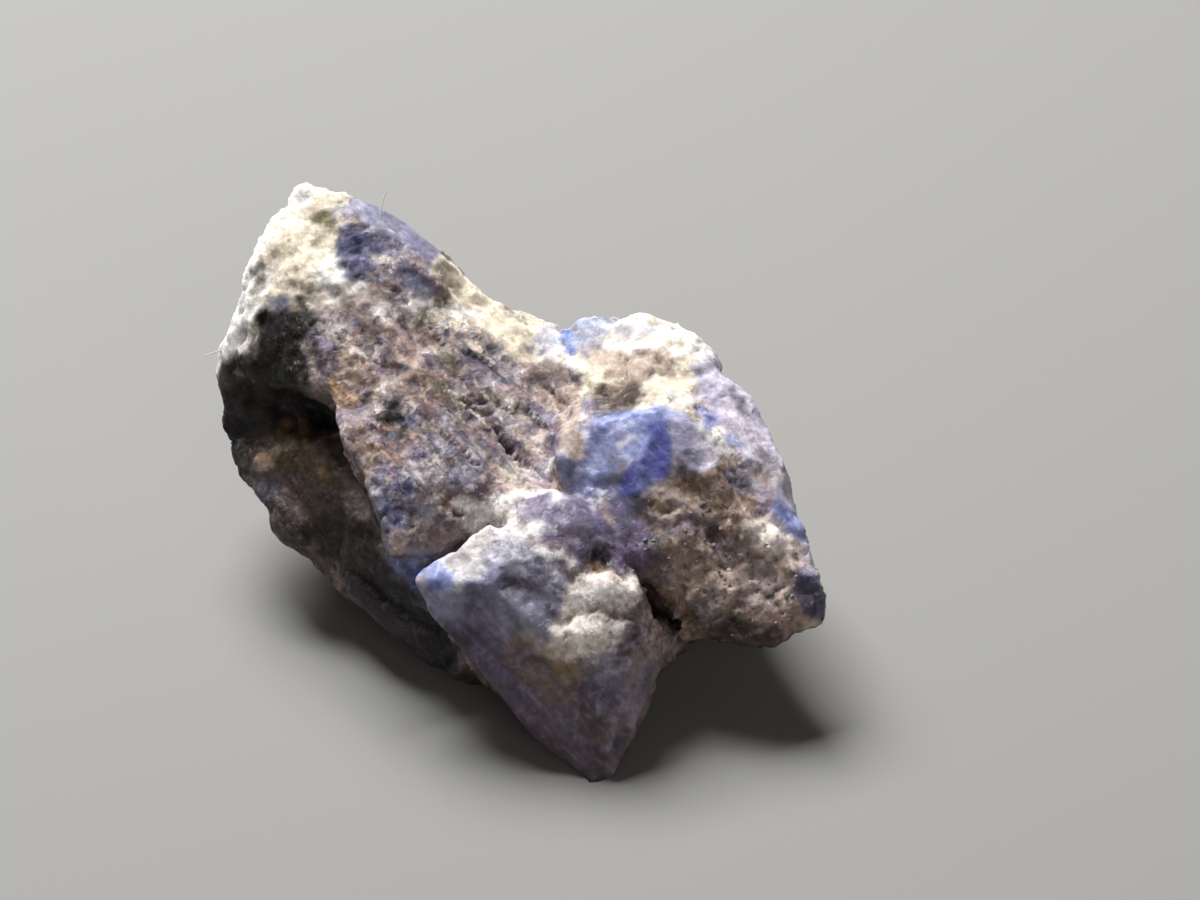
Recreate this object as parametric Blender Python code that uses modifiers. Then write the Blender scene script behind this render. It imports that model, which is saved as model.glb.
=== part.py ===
# A carletonite crystal: one broken cluster of layered, lavender to blue crystal with
# patches of pale crust, lying on the underside of its thick middle and on its front point.
# The shaping is done in millimetres and the finished mesh is scaled to metres.
# Axes: +X to the viewer's right, +Y away from the viewer, +Z up.
import random

import bmesh
import bpy
from mathutils import Matrix, Vector, noise
from mathutils.kdtree import KDTree

MM = 0.001

# Driving dimensions, in millimetres
WIDTH = 19.0            # the whole specimen from its left flank to its right corner
WORKING_GRAIN = 0.17    # spacing of the fine mesh that is shaped
TRIANGLES = 9400        # what is left of it at the end

BASE_LIFT = 0.10        # height in the blocks' own frame at which the foot is worn flat
SOFTEN_ROUNDS = 3       # before the relief is carved
SETTLE_ROUNDS = 1       # after it
SWELL = 0.10            # makes good what the softening takes off
GROUND_SIZE = (60.0, 60.0, 10.0)    # the block that cuts the foot flat

# The crystal's own directions. The cleavage plates stack along STACK, their edges and
# the long striations run along ZONE, and FACE is the third direction, square to both.
ZONE = Vector((0.67, -0.53, -0.52)).normalized()
STACK = Vector((0.74, 0.50, 0.44))
STACK = (STACK - ZONE * STACK.dot(ZONE)).normalized()
FACE = ZONE.cross(STACK)

# The intergrown blocks, each given by its corners.
BLOCKS = {
    # the high left end, with the pale crust on its outer side
    "left_lump": [
        (-7.1, 8.7, 11.45), (-5.5, 8.3, 11.5), (-3.8, 7.65, 11.15), (-2.4, 6.4, 10.45),
        (-8.2, 7.5, 10.2), (-8.8, 6.3, 9.0), (-9.4, 5.4, 7.6), (-9.6, 5.0, 6.7),
        (-9.5, 4.7, 6.1), (-6.1, 3.7, 8.9), (-5.9, 2.2, 8.4), (-3.6, 4.0, 8.7),
        (-1.6, 6.6, 9.3), (-7.4, 9.6, 8.0), (-3.6, 9.4, 7.6), (-8.6, 7.6, 5.0),
        (-5.0, 5.0, 4.0), (-3.0, 8.6, 4.0),
    ],
    # the broad sloping top between the two ends
    "plateau": [
        (-6.1, 3.7, 8.9), (-5.8, 1.4, 8.1), (-5.0, 0.4, 7.7), (-4.4, -1.4, 6.8),
        (-4.0, -2.7, 5.6), (-2.7, -2.1, 5.0), (-0.6, -0.3, 5.9), (1.3, 1.7, 6.5),
        (2.2, 3.2, 7.1), (0.8, 6.1, 7.9), (-1.3, 6.4, 9.2), (-3.2, 6.2, 9.6),
        (-3.6, 0.0, 3.4), (-2.4, 5.0, 1.5), (3.0, 4.0, 2.0), (0.0, 8.0, 4.0),
    ],
    # the dark lower left side, set back under the rim of the plateau
    "lower_left": [
        (-9.6, 4.1, 5.0), (-9.6, 4.9, 6.4), (-8.0, 4.6, 6.4), (-7.4, 3.6, 5.6),
        (-8.4, 2.3, 3.5), (-5.6, 0.8, 4.2),
        (-5.7, 0.1, 2.0), (-3.7, -1.6, 2.2), (-2.5, -2.4, 1.2), (-0.9, -3.6, 0.8),
        (-1.0, -2.6, 3.6), (-3.4, -1.4, 4.4), (-5.6, 5.4, 6.5), (-7.6, 6.6, 4.0),
        (-4.6, 4.6, 0.9), (-1.0, 2.0, 0.0), (-2.6, 1.2, 0.0), (0.6, -1.4, 0.2),
        (-1.0, 2.0, 4.0),
    ],
    # the front wedge, one large crystal corner that points down at the viewer
    "front_wedge": [
        (-3.3, -3.2, 5.4), (-3.1, -3.3, 4.9), (-0.5, -2.0, 6.5), (0.8, -1.5, 6.5),
        (2.5, -3.3, 6.0), (3.6, -3.8, 5.2), (4.0, -4.7, 4.0), (2.9, -7.1, 0.0),
        (2.2, -7.35, 0.0), (2.5, -7.0, -0.3), (3.7, -5.0, 1.2), (4.5, -3.3, 1.5),
        (-0.7, -4.2, 1.9), (0.4, -1.0, 1.4), (3.4, -1.6, 1.2), (2.6, 0.0, 4.0),
    ],
    # the wedge's narrow right flank
    "wedge_flank": [
        (4.0, -4.7, 4.0), (3.7, -4.4, 4.2), (5.3, -2.5, 1.9), (5.0, -2.0, 2.4),
        (2.6, -7.2, 0.0), (3.2, -6.0, 0.6), (3.7, -5.0, 1.2), (4.5, -3.4, 1.6),
        (2.0, -4.0, 1.0), (2.6, -2.0, 2.6),
    ],
    # the slope that ties the wedge to the blue crystal
    "neck": [
        (0.8, -1.1, 6.5), (2.5, -1.3, 6.9), (4.0, -1.8, 6.3), (3.7, -3.0, 4.9),
        (2.5, -3.2, 5.6), (1.3, -2.3, 6.3), (1.0, -0.8, 4.0), (3.4, -2.2, 4.0),
        (3.2, -0.6, 5.0), (5.2, -1.6, 6.5), (4.8, -0.8, 4.5),
    ],
    # the floor of the valley in front of the saddle
    "valley": [
        (0.4, 1.2, 6.4), (2.2, 0.6, 7.0), (2.4, 2.4, 7.4), (0.8, 3.4, 7.3),
        (1.6, -0.8, 6.5), (-0.8, -0.6, 6.0), (0.0, -1.6, 6.1), (1.0, 0.0, 3.0),
        (2.0, 2.0, 3.0), (0.0, -1.0, 3.5),
    ],
    # the saddle between the two ends, filled with crust
    "saddle": [
        (0.5, 6.0, 7.5), (1.8, 5.6, 7.9), (2.9, 4.4, 8.2), (1.2, 4.2, 7.6),
        (1.9, 2.6, 7.6), (3.0, 2.4, 8.2), (0.1, 5.0, 7.9), (1.0, 6.0, 4.0),
        (2.0, 3.0, 4.0), (1.0, 3.0, 4.0),
    ],
    # a small upright crystal in the valley, beside the blue one
    "upright_crystal": [
        (1.15, 2.15, 8.1), (1.80, 2.20, 8.2), (1.95, 0.50, 8.1), (1.85, -0.50, 7.7),
        (1.15, -0.50, 7.5), (1.00, 0.70, 7.9), (1.20, 2.40, 6.0), (1.80, 2.40, 6.0),
        (1.80, 0.30, 6.0), (1.20, 0.30, 6.0),
    ],
    # a smoky lump that fills the corner between the upright crystal and the blue one
    "smoky_lump": [
        (2.5, 2.2, 8.15), (3.5, 2.3, 8.3), (3.55, 1.2, 8.3), (2.6, 0.9, 8.15),
        (2.1, 1.7, 7.85), (2.1, 0.8, 7.8), (2.2, 0.8, 6.4), (3.5, 1.0, 6.4),
        (3.5, 2.4, 6.4), (2.1, 2.4, 6.4),
    ],
    # what carries the wedge and the right end underneath
    "keel": [
        (-1.6, 0.6, 0.0), (-1.2, 4.4, 0.0), (3.8, 4.4, 0.0), (5.4, 2.4, 0.0),
        (4.6, 0.0, 0.2), (2.0, -1.6, 0.4), (5.3, -2.1, 1.9), (6.4, 0.4, 2.4),
        (5.8, 3.8, 3.0), (3.4, 6.6, 3.0), (-2.4, 7.2, 2.2), (-1.2, 0.0, 3.6),
        (3.0, 0.0, 5.0), (-0.4, 8.2, 4.6),
    ],
    # the deep blue crystal in the saddle
    "blue_crystal": [
        (2.5, 0.5, 8.2), (3.9, 0.9, 8.6), (5.3, 0.5, 8.2), (4.0, -1.6, 6.9),
        (2.2, -0.6, 6.9), (1.0, -1.0, 6.2), (5.6, -1.2, 6.7), (2.0, 1.6, 7.0),
        (3.0, 0.0, 4.6), (5.0, 0.0, 4.6),
    ],
    # the right end, capped by the cream crust
    "right_lump": [
        (1.4, 5.7, 8.1), (2.6, 5.4, 8.35), (3.8, 5.1, 9.25), (5.3, 4.2, 9.0),
        (6.25, 3.5, 8.5), (7.1, 2.3, 7.8), (8.0, 0.8, 7.0), (8.75, -0.6, 6.15),
        (8.9, -1.6, 5.45), (3.7, 2.0, 8.8), (5.2, 0.6, 8.1), (4.9, -1.2, 6.9),
        (2.4, 3.0, 7.2), (3.0, 6.8, 6.0), (6.4, 5.4, 5.6), (7.6, 2.4, 4.4),
        (4.0, 0.0, 5.0), (1.6, 7.0, 6.0), (5.0, 4.0, 3.4),
    ],
    # the dark stained block that overhangs at the lower right
    "right_foot": [
        (4.9, -1.2, 6.9), (4.0, -1.8, 6.6), (4.0, -2.6, 4.4), (4.7, -3.0, 3.2),
        (5.4, -3.9, 2.9), (6.3, -4.15, 3.0), (7.4, -4.1, 3.05), (8.6, -3.75, 3.1),
        (9.3, -3.5, 3.15), (9.6, -3.3, 4.0), (9.75, -3.1, 3.3),
        (8.3, -2.4, 5.2), (8.9, -1.6, 5.45), (8.75, -0.6, 6.15), (8.0, -1.6, 2.9),
        (6.6, 0.6, 3.0), (5.0, -1.8, 3.6), (7.9, 0.8, 5.0),
    ],
}

# The dark gap between the wedge and the stained block.
CAVE = [
    (3.60, -3.45, 4.8), (4.15, -3.6, 4.8), (5.00, -4.5, 4.8), (5.60, -5.6, 4.8),
    (4.80, -5.9, 4.8), (4.10, -5.4, 4.8), (3.70, -4.4, 4.8), (3.9, -0.4, 2.3),
    (4.3, -0.5, 2.3), (5.2, -1.6, 2.0), (4.6, -1.8, 2.0), (4.1, -1.3, 2.2),
]

# Cleavage plates, coarse to fine: size along ZONE, STACK and FACE, relief, and lean.
PLATES = [
    {"size": (6.0, 1.50, 3.0), "relief": 0.42, "lean": 0.45, "drift": 31.0},
    {"size": (3.4, 0.72, 1.6), "relief": 0.22, "lean": 0.50, "drift": 67.0},
]
PLATE_LEVEL = 0.5       # share of a plate's relief that is its own level
PLATE_KEY = 7.3         # spreads the plates' middles, so that each has a number of its own
WANDER_RATE = 0.35      # how fast the plates' edges wander, per millimetre
WANDER = 0.5            # and how far
NOISE_SEED = 1795859087             # keeps the wander the same on every run

# Conchoidal chips knocked off the outside.
CHIPS = 44
CHIP_REACH = (1.0, 2.2)
CHIP_DEPTH = (0.05, 0.16)
CHIP_SHELL = ((0.0, 1.0, 5.5), (10.0, 9.0, 6.5))    # middle and half sizes of where knocks come from
CHIP_TILT = 0.35        # how far a knock may lean from straight on
CHIP_EDGE = 2.5         # how steeply a chip ends
CHIP_SEED = 4

# Where granular crust covers the plates: centre and reach.
CRUST = {
    "pale_left_side": ((-8.4, 6.9, 9.0), 4.2),
    "cream_cap": ((4.9, 3.4, 9.2), 3.2),
    "stained_foot": ((7.2, -2.6, 4.2), 3.0),
    "saddle": ((0.6, 6.2, 8.2), 1.8),
}
CRUST_RELIEF = 0.22
CRUST_GRAIN = 1.3       # size of a crust lump
CRUST_NOISE = (0.7, 2.2, 3)         # roughness, step between sizes, and how many sizes
CRUST_COVER = 0.85      # share of the plates' relief that crust hides
BARE_LUMPS = 0.35       # share of the crust's lumps that bare crystal has too

# Sound crystal faces, where the plates hardly show: centre and reach.
SOUND = {
    "wedge_face": ((1.2, -4.9, 3.2), 3.6),
    "blue_crystal": ((3.8, -0.6, 7.8), 2.4),
    "left_upper_face": ((-4.6, 6.6, 10.6), 2.0),
    "wedge_tip": ((-3.0, -3.3, 5.1), 1.8),
    "back_edge": ((-1.2, 6.5, 8.9), 2.6),
    "apex": ((-7.1, 8.8, 11.5), 2.0),
    "right_crown": ((5.4, 4.2, 8.9), 2.4),
    "right_slope": ((7.4, 1.6, 7.4), 3.4),
}
SOUND_CALM = 0.65       # share of the plates' relief that is missing there

# Single bumps and hollows: centre, reach and height.
BUMPS = {
    "apex_tooth": ((-7.1, 8.7, 11.4), 0.8, 0.20),
    "cream_knob_upper": ((2.5, -4.0, 5.3), 0.9, 0.50),
    "cream_knob_lower": ((2.2, -4.7, 4.3), 0.9, 0.50),
    "saddle_knob": ((0.9, 5.2, 7.9), 0.9, 0.45),
    "pit_by_blue": ((3.1, 2.5, 8.2), 0.6, -0.15),
    "left_hollow": ((-7.2, 3.8, 6.4), 2.0, -0.60),
}


def clear_scene():
    for obj in list(bpy.data.objects):
        bpy.data.objects.remove(obj, do_unlink=True)


def hull_block(name, corners, collection):
    """One block as the convex body round its corners."""
    bm = bmesh.new()
    for corner in corners:
        bm.verts.new(corner)
    made = bmesh.ops.convex_hull(bm, input=bm.verts)
    loose = [v for v in made["geom_interior"] if isinstance(v, bmesh.types.BMVert)]
    bmesh.ops.delete(bm, geom=loose, context="VERTS")
    bmesh.ops.recalc_face_normals(bm, faces=bm.faces)
    mesh = bpy.data.meshes.new(name)
    bm.to_mesh(mesh)
    bm.free()
    obj = bpy.data.objects.new(name, mesh)
    collection.objects.link(obj)
    obj.hide_render = True
    obj.display_type = "WIRE"
    return obj


def evaluated_copy(obj):
    """The mesh of an object with its modifiers worked in."""
    graph = bpy.context.evaluated_depsgraph_get()
    graph.update()
    return bpy.data.meshes.new_from_object(obj.evaluated_get(graph))


def grown_together(blocks, cave, collection):
    """All blocks joined in one solid with the cave cut, remeshed finely for shaping."""
    first, *others = blocks
    joined = bpy.data.objects.new("joined", first.data.copy())
    collection.objects.link(joined)
    for other in others:
        union = joined.modifiers.new(other.name, "BOOLEAN")
        union.operation = "UNION"
        union.object = other
    cut = joined.modifiers.new(cave.name, "BOOLEAN")
    cut.operation = "DIFFERENCE"
    cut.object = cave
    remesh = joined.modifiers.new("even_grain", "REMESH")
    remesh.mode = "VOXEL"
    remesh.voxel_size = WORKING_GRAIN
    mesh = evaluated_copy(joined)
    bpy.data.objects.remove(joined, do_unlink=True)
    return mesh


def along_axes(point, zone, stack, face):
    """A point in the crystal's own directions, each divided by a plate's size there."""
    return Vector((point.dot(ZONE) / zone, point.dot(STACK) / stack, point.dot(FACE) / face))


def broken_plate(place, tilt):
    """Height of the broken plate that a place belongs to: its own level and its own tilt."""
    _, nearest = noise.voronoi(place)
    centre = nearest[0]
    key = centre * PLATE_KEY
    lean = noise.cell_vector(key) * 2.0 - Vector((1.0, 1.0, 1.0))
    return PLATE_LEVEL * noise.cell(key) + tilt * (place - centre).dot(lean)


def near(point, centre, reach):
    """1 at the centre, falling smoothly to 0 at the reach."""
    share = max(0.0, 1.0 - (point - Vector(centre)).length / reach)
    return share * share * (3.0 - 2.0 * share)


def soften(mesh, rounds):
    """Evens out the grid marks of the remesh."""
    bm = bmesh.new()
    bm.from_mesh(mesh)
    for _ in range(rounds):
        bmesh.ops.smooth_vert(
            bm, verts=bm.verts, factor=0.5, use_axis_x=True, use_axis_y=True, use_axis_z=True
        )
    bm.to_mesh(mesh)
    bm.free()


def share_in(places, point):
    return max(near(point, centre, reach) for centre, reach in places.values())


def chip(mesh):
    """Planes shallow caps off the outside, as knocks do to a brittle crystal."""
    rng = random.Random(CHIP_SEED)
    tree = KDTree(len(mesh.vertices))
    for vertex in mesh.vertices:
        tree.insert(vertex.co, vertex.index)
    tree.balance()
    middle, half_sizes = CHIP_SHELL
    for _ in range(CHIPS):
        way = Vector([rng.gauss(0.0, 1.0) for _ in range(3)]).normalized()
        knock = Vector(middle) + way * Vector(half_sizes)
        struck = mesh.vertices[tree.find(knock)[1]]
        reach = rng.uniform(*CHIP_REACH)
        tip = Vector([rng.uniform(-CHIP_TILT, CHIP_TILT) for _ in range(3)])
        outward = (struck.normal + tip).normalized()
        floor = struck.co - outward * rng.uniform(*CHIP_DEPTH)
        for _, index, distance in tree.find_range(struck.co, reach):
            vertex = mesh.vertices[index]
            height = (vertex.co - floor).dot(outward)
            if height > 0.0:
                share = min(1.0, CHIP_EDGE * (1.0 - distance / reach))
                share *= 1.0 - share_in(SOUND, vertex.co)
                vertex.co -= outward * height * share


def relief_at(point):
    """How far the surface stands out at a point: plates on bare crystal, lumps on crust."""
    wander = noise.noise_vector(point * WANDER_RATE) * WANDER
    plates = 0.0
    for layer in PLATES:
        place = along_axes(point + wander, *layer["size"]) + Vector((layer["drift"],) * 3)
        plates += layer["relief"] * broken_plate(place, layer["lean"])
    crust = share_in(CRUST, point)
    plates *= 1.0 - SOUND_CALM * share_in(SOUND, point)
    plates *= 1.0 - CRUST_COVER * crust
    lumps = CRUST_RELIEF * noise.fractal(point / CRUST_GRAIN, *CRUST_NOISE)
    return plates + lumps * (BARE_LUMPS + (1.0 - BARE_LUMPS) * crust)


def carve(mesh):
    """Moves every point of the fine mesh in or out along its normal."""
    outward = [vertex.normal.copy() for vertex in mesh.vertices]
    for vertex, normal in zip(mesh.vertices, outward):
        amount = SWELL + relief_at(vertex.co)
        for centre, reach, height in BUMPS.values():
            amount += height * near(vertex.co, centre, reach)
        vertex.co += normal * amount


def reduced(mesh, collection):
    """The same shape on few triangles, and cut flat where it stands."""
    obj = bpy.data.objects.new("reduced", mesh)
    collection.objects.link(obj)
    decimate = obj.modifiers.new("fewer_faces", "DECIMATE")
    decimate.ratio = TRIANGLES / (2 * len(mesh.polygons))
    decimate.use_collapse_triangulate = True
    bpy.ops.mesh.primitive_cube_add(size=1.0)
    ground = bpy.context.object
    ground.name = "ground"
    ground.scale = GROUND_SIZE
    ground.location.z = BASE_LIFT - ground.scale.z / 2
    ground.hide_render = True
    ground.display_type = "WIRE"
    foot = obj.modifiers.new("flat_foot", "BOOLEAN")
    foot.operation = "DIFFERENCE"
    foot.object = ground
    made = evaluated_copy(obj)
    bpy.data.objects.remove(obj, do_unlink=True)
    bpy.data.objects.remove(ground, do_unlink=True)
    return made


def stand_on_origin(mesh):
    """Puts the middle of the base on the origin, at the driving width and in metres."""
    low, high = [
        Vector([pick(v.co[axis] for v in mesh.vertices) for axis in range(3)])
        for pick in (min, max)
    ]
    middle = Vector(((low.x + high.x) / 2, (low.y + high.y) / 2, low.z))
    scale = WIDTH / (high.x - low.x)
    mesh.transform(Matrix.Scale(scale * MM, 4) @ Matrix.Translation(-middle))


def crystal_material():
    material = bpy.data.materials.new("lavender_carletonite")
    material.use_nodes = True
    shader = material.node_tree.nodes["Principled BSDF"]
    shader.inputs["Base Color"].default_value = (0.36, 0.33, 0.44, 1.0)
    shader.inputs["Roughness"].default_value = 0.45
    shader.inputs["Metallic"].default_value = 0.0
    return material


def main():
    clear_scene()
    noise.seed_set(NOISE_SEED)
    helpers = bpy.data.collections.new("blocks")
    bpy.context.scene.collection.children.link(helpers)
    specimen = bpy.data.collections.new("carletonite")
    bpy.context.scene.collection.children.link(specimen)

    blocks = [hull_block(name, corners, helpers) for name, corners in BLOCKS.items()]
    cave = hull_block("cave", CAVE, helpers)
    mesh = grown_together(blocks, cave, helpers)
    soften(mesh, SOFTEN_ROUNDS)
    chip(mesh)
    carve(mesh)
    soften(mesh, SETTLE_ROUNDS)
    mesh = reduced(mesh, helpers)
    stand_on_origin(mesh)
    mesh.materials.append(crystal_material())
    obj = bpy.data.objects.new("carletonite_crystal", mesh)
    specimen.objects.link(obj)


main()
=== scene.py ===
import math

import bpy
import numpy as np
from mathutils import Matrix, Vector, noise
from mathutils.bvhtree import BVHTree


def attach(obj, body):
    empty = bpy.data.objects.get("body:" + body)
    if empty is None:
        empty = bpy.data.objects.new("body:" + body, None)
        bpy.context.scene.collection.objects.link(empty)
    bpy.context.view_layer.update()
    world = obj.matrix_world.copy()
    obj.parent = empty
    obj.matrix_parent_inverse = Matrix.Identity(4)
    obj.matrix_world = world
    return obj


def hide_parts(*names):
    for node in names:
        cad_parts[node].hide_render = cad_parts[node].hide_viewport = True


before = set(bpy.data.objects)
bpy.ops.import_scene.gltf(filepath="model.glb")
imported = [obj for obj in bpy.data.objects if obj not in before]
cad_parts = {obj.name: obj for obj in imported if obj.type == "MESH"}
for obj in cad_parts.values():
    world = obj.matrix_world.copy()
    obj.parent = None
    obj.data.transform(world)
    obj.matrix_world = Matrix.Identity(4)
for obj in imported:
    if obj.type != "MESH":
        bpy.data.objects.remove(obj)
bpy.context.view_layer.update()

scene = bpy.context.scene
MM = 0.001


# Camera
# A long lens from the front, 38 degrees above the table. The marks on the stone are placed
# by sight lines through this camera, in the pixels of the 1200 x 900 photograph.
camera_height = math.radians(38.0)
camera_aim = Vector((2.525, 0.892, 5.744)) * MM
camera_distance = 148.56 * MM
looking = Vector((0.0, math.cos(camera_height), -math.sin(camera_height)))
upward = Vector((0.0, math.sin(camera_height), math.cos(camera_height)))

camera_data = bpy.data.cameras.new("camera")
camera_data.lens = 144.0
camera_data.sensor_width = 36.0
camera_data.clip_start = 0.01
camera = bpy.data.objects.new("camera", camera_data)
camera.location = camera_aim - looking * camera_distance
camera.rotation_mode = "QUATERNION"
camera.rotation_quaternion = looking.to_track_quat("-Z", "Y")
scene.collection.objects.link(camera)
scene.camera = camera


def sight_line(u, v):
    """Direction from the camera through a pixel of the photograph."""
    pixels_per_unit = 1200 * camera_data.lens / camera_data.sensor_width
    across, rise = (u - 600) / pixels_per_unit, (450 - v) / pixels_per_unit
    return (looking + Vector((across, 0.0, 0.0)) + upward * rise).normalized()


# Carletonite crystal
# One broken, intergrown cluster of layered crystal, lavender to deep blue, with granular
# cream and brown crust. Its faces are cleaved plates, stepped along one direction. It grew
# as one piece, and lies loose on its underside.
noise.seed_set(5)        # the same noise on every run
grain = 0.12             # mm, spacing of the fine surface
reach_scale = 27.0       # pixels of a mark's reach to a millimetre of stone
# the crystal's own directions: along its grain, through its stacked sheets, across both
zone = Vector((0.67, -0.53, -0.52)).normalized()
stack = Vector((0.74, 0.50, 0.44))
stack = (stack - zone * stack.dot(zone)).normalized()
face = zone.cross(stack)

body_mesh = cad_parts["carletonite_crystal"].data.copy()
body_mesh.transform(((1 / MM, 0, 0, 0), (0, 1 / MM, 0, 0), (0, 0, 1 / MM, 0), (0, 0, 0, 1)))
body = bpy.data.objects.new("rough_body", body_mesh)
scene.collection.objects.link(body)
weld = body.modifiers.new("weld", "WELD")
weld.merge_threshold = 0.0001
remesh = body.modifiers.new("even_grain", "REMESH")
remesh.mode = "VOXEL"
remesh.voxel_size = grain
graph = bpy.context.evaluated_depsgraph_get()
mesh = bpy.data.meshes.new_from_object(body.evaluated_get(graph))
bpy.data.objects.remove(body, do_unlink=True)

count = len(mesh.vertices)
edges = np.empty(len(mesh.edges) * 2, np.int32)
mesh.edges.foreach_get("vertices", edges)
edges = edges.reshape(-1, 2)
valence = np.bincount(edges.ravel(), minlength=count).astype(float)


def smoothed(values, rounds, share=0.5):
    """Values on the mesh's points, each drawn towards the mean of its neighbours."""
    for _ in range(rounds):
        total = np.zeros_like(values)
        for axis in range(values.shape[1]):
            total[:, axis] = np.bincount(edges[:, 0], values[edges[:, 1], axis], count)
            total[:, axis] += np.bincount(edges[:, 1], values[edges[:, 0], axis], count)
        values = values + share * (total / valence[:, None] - values)
    return values


def vectors_of(mesh, name):
    values = np.empty(len(mesh.vertices) * 3)
    mesh.vertices.foreach_get(name, values)
    return values.reshape(-1, 3)


points = smoothed(vectors_of(mesh, "co"), 2)
mesh.vertices.foreach_set("co", points.ravel())
mesh.update()
broad_normals = smoothed(vectors_of(mesh, "normal"), 12)
broad_normals /= np.linalg.norm(broad_normals, axis=1)[:, None]
surface = BVHTree.FromPolygons(
    [Vector(p) for p in points], [tuple(p.vertices) for p in mesh.polygons]
)


def seen_at(u, v):
    """The point of the stone that shows at a pixel of the photograph, in mm."""
    hit = surface.ray_cast(camera.location / MM, sight_line(u, v))[0]
    if hit is None:
        far_point = camera.location / MM + sight_line(u, v) * camera_distance / MM
        hit = surface.find_nearest(far_point)[0]
    return np.array(hit)


def eased(value, low, high):
    share = np.clip((value - low) / (high - low), 0.0, 1.0)
    return share * share * (3.0 - 2.0 * share)


def cloud(scale, depth, number):
    """Fractal noise on every point, about -1 to 1, with features about scale mm across.

    Its number tells it apart from the other clouds.
    """
    shift = Vector((number * 17.3, number * 5.9, number * 11.1))
    roughness, step = 0.8, 2.0
    return np.array([
        noise.fractal(Vector(p) / scale + shift, roughness, step, depth) for p in points
    ])


def drift(scale, number):
    """Vector noise on every point, for bending the outlines of marks."""
    shift = Vector((number * 13.7, number * 7.1, number * 3.3))
    return np.array([noise.noise_vector(Vector(p) / scale + shift)[:] for p in points])


wavy_points = points + 0.08 * drift(0.5, 8)


def fragments(sizes, number):
    """Height and tone, -1 to 1, of the broken piece of crystal that each point is part of.

    The sizes in mm are along the grain, through the stacked sheets and across both. The keys
    spread the middles of the pieces, so that each has a lean, a level and a tone of its own.
    """
    lean_key, level_key, tone_key = 7.3, 5.1, 9.7
    shift = Vector((number * 3.1, number * 7.7, number * 1.9))
    heights, tones = np.empty(count), np.empty(count)
    for i, p in enumerate(wavy_points):
        p = Vector(p)
        place = Vector((p.dot(zone) / sizes[0], p.dot(stack) / sizes[1], p.dot(face) / sizes[2]))
        centre = noise.voronoi(place + shift)[1][0]
        lean = noise.cell_vector(centre * lean_key) * 2.0 - Vector((1.0, 1.0, 1.0))
        level = noise.cell(centre * level_key)
        heights[i] = 0.5 * level + 0.6 * (place + shift - centre).dot(lean)
        tones[i] = noise.cell(centre * tone_key)
    return heights, tones


coarse_plate, coarse_plate_tone = fragments((2.0, 0.50, 1.0), 1)
fine_plate = fragments((0.9, 0.26, 0.5), 2)[0]
block_tone = fragments((1.5, 1.1, 1.4), 5)[1]
chunk, chunk_tone = fragments((0.85, 0.70, 0.80), 3)
chip, chip_tone = fragments((0.42, 0.34, 0.40), 4)
lumps = cloud(0.7, 3, 9)
grit = cloud(0.22, 2, 10)
raggedness = cloud(0.5, 3, 3) + 0.25 * chip_tone
bent = points + 0.25 * drift(1.3, 1) + 0.15 * drift(0.4, 2)


def mark(route, reach, ragged=0.35, edge=0.35, bends=1.0):
    """How much each point belongs to a mark along a route, reach pixels to each side.

    A stop on the route is a pixel of the photograph, or a point in mm where the mark is
    out of its sight. ragged and edge say how uneven and how soft the outline is, and bends
    how far the route strays.
    """
    places = points + bends * (bent - points)
    radius = reach / reach_scale
    stops = [seen_at(*stop) if len(stop) == 2 else np.array(stop) for stop in route]
    if len(stops) == 1:
        stops = stops * 2
    nearest = np.full(count, 1e9)
    for a, b in zip(stops, stops[1:]):
        along = b - a
        share = np.clip((places - a) @ along / max(along @ along, 1e-9), 0.0, 1.0)
        nearest = np.minimum(nearest, np.linalg.norm(places - a - share[:, None] * along, axis=1))
    return eased(1.0 - nearest / radius + ragged * raggedness, 0.0, edge)


def region(*marks):
    """The union of marks, each a route, a reach and a strength."""
    return np.maximum.reduce([strength * mark(route, reach) for route, reach, strength in marks])


def flattened(points, pieces, share, reach=0.35):
    """Points drawn towards the mean plane of the piece that each is part of, to flat faces."""
    pieces = np.unique(pieces, return_inverse=True)[1]
    size = np.bincount(pieces)
    centre = np.column_stack([np.bincount(pieces, points[:, k]) / size for k in range(3)])
    normal = np.column_stack([np.bincount(pieces, broad_normals[:, k]) / size for k in range(3)])
    normal /= np.maximum(np.linalg.norm(normal, axis=1), 1e-6)[:, None]
    normal = normal[pieces]
    height = ((points - centre[pieces]) * normal).sum(axis=1)
    height *= eased(-np.abs(height), -2.0 * reach, -reach)
    return points - (share * height)[:, None] * normal


def face_drawn_flat(points, belongs, reach=0.35):
    """Points drawn to the mean plane of one face, the more they belong to it."""
    core = belongs > 0.5
    centre = points[core].mean(axis=0)
    normal = broad_normals[core].mean(axis=0)
    normal /= np.linalg.norm(normal)
    height = np.clip((points - centre) @ normal, -reach, reach)
    return points - (belongs * height)[:, None] * normal


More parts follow.
